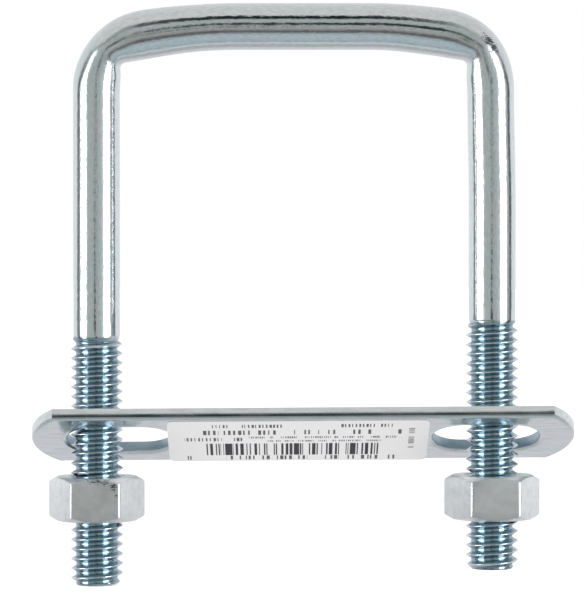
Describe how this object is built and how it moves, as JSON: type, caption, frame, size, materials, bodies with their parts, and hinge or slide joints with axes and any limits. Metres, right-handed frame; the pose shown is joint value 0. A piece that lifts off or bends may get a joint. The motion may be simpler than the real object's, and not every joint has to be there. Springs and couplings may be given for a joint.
{
  "type": "square u-bolt with plate and nuts",
  "caption": "Square U-bolt for fixing an eye or clamping square stock: bent rod with threaded legs, slotted plate, hex nuts and a paper label.",
  "frame": {"origin": "midway between the axes of the two legs, at the level where their plain shanks begin above the threads", "axes": "+X from the left leg to the right leg, +Z along the legs up to the crossbar, -Y towards the side that the plate's underside is tilted to"},
  "size_m": [0.08, 0.0162, 0.0859],
  "materials": {
    "zinc_rod": "bright zinc plate with a clear blue passivate",
    "zinc_plate": "bright zinc plate over rolled strip, satin",
    "zinc_nut": "bright zinc plate over forged steel, satin",
    "label_paper": "matt coated paper"
  },
  "bodies": {
    "u_bolt": {"u_bolt": "zinc_rod"},
    "plate": {"clamp_plate": "zinc_plate", "label": "label_paper"},
    "nut_left": {"hex_nut_left": "zinc_nut"},
    "nut_right": {"hex_nut_right": "zinc_nut"}
  },
  "joints": [
    {"name": "plate_slide", "type": "slide", "parent": "u_bolt", "child": "plate", "axis": [0, 0, 1], "range_m": [0, 0.046]},
    {"name": "nut_left_travel", "type": "slide", "parent": "u_bolt", "child": "nut_left", "axis": [0, 0, 1], "range_m": [-0.01834, 0.00141]},
    {"name": "nut_right_travel", "type": "slide", "parent": "u_bolt", "child": "nut_right", "axis": [0, 0, 1], "range_m": [-0.01834, 0.00141]}
  ]
}
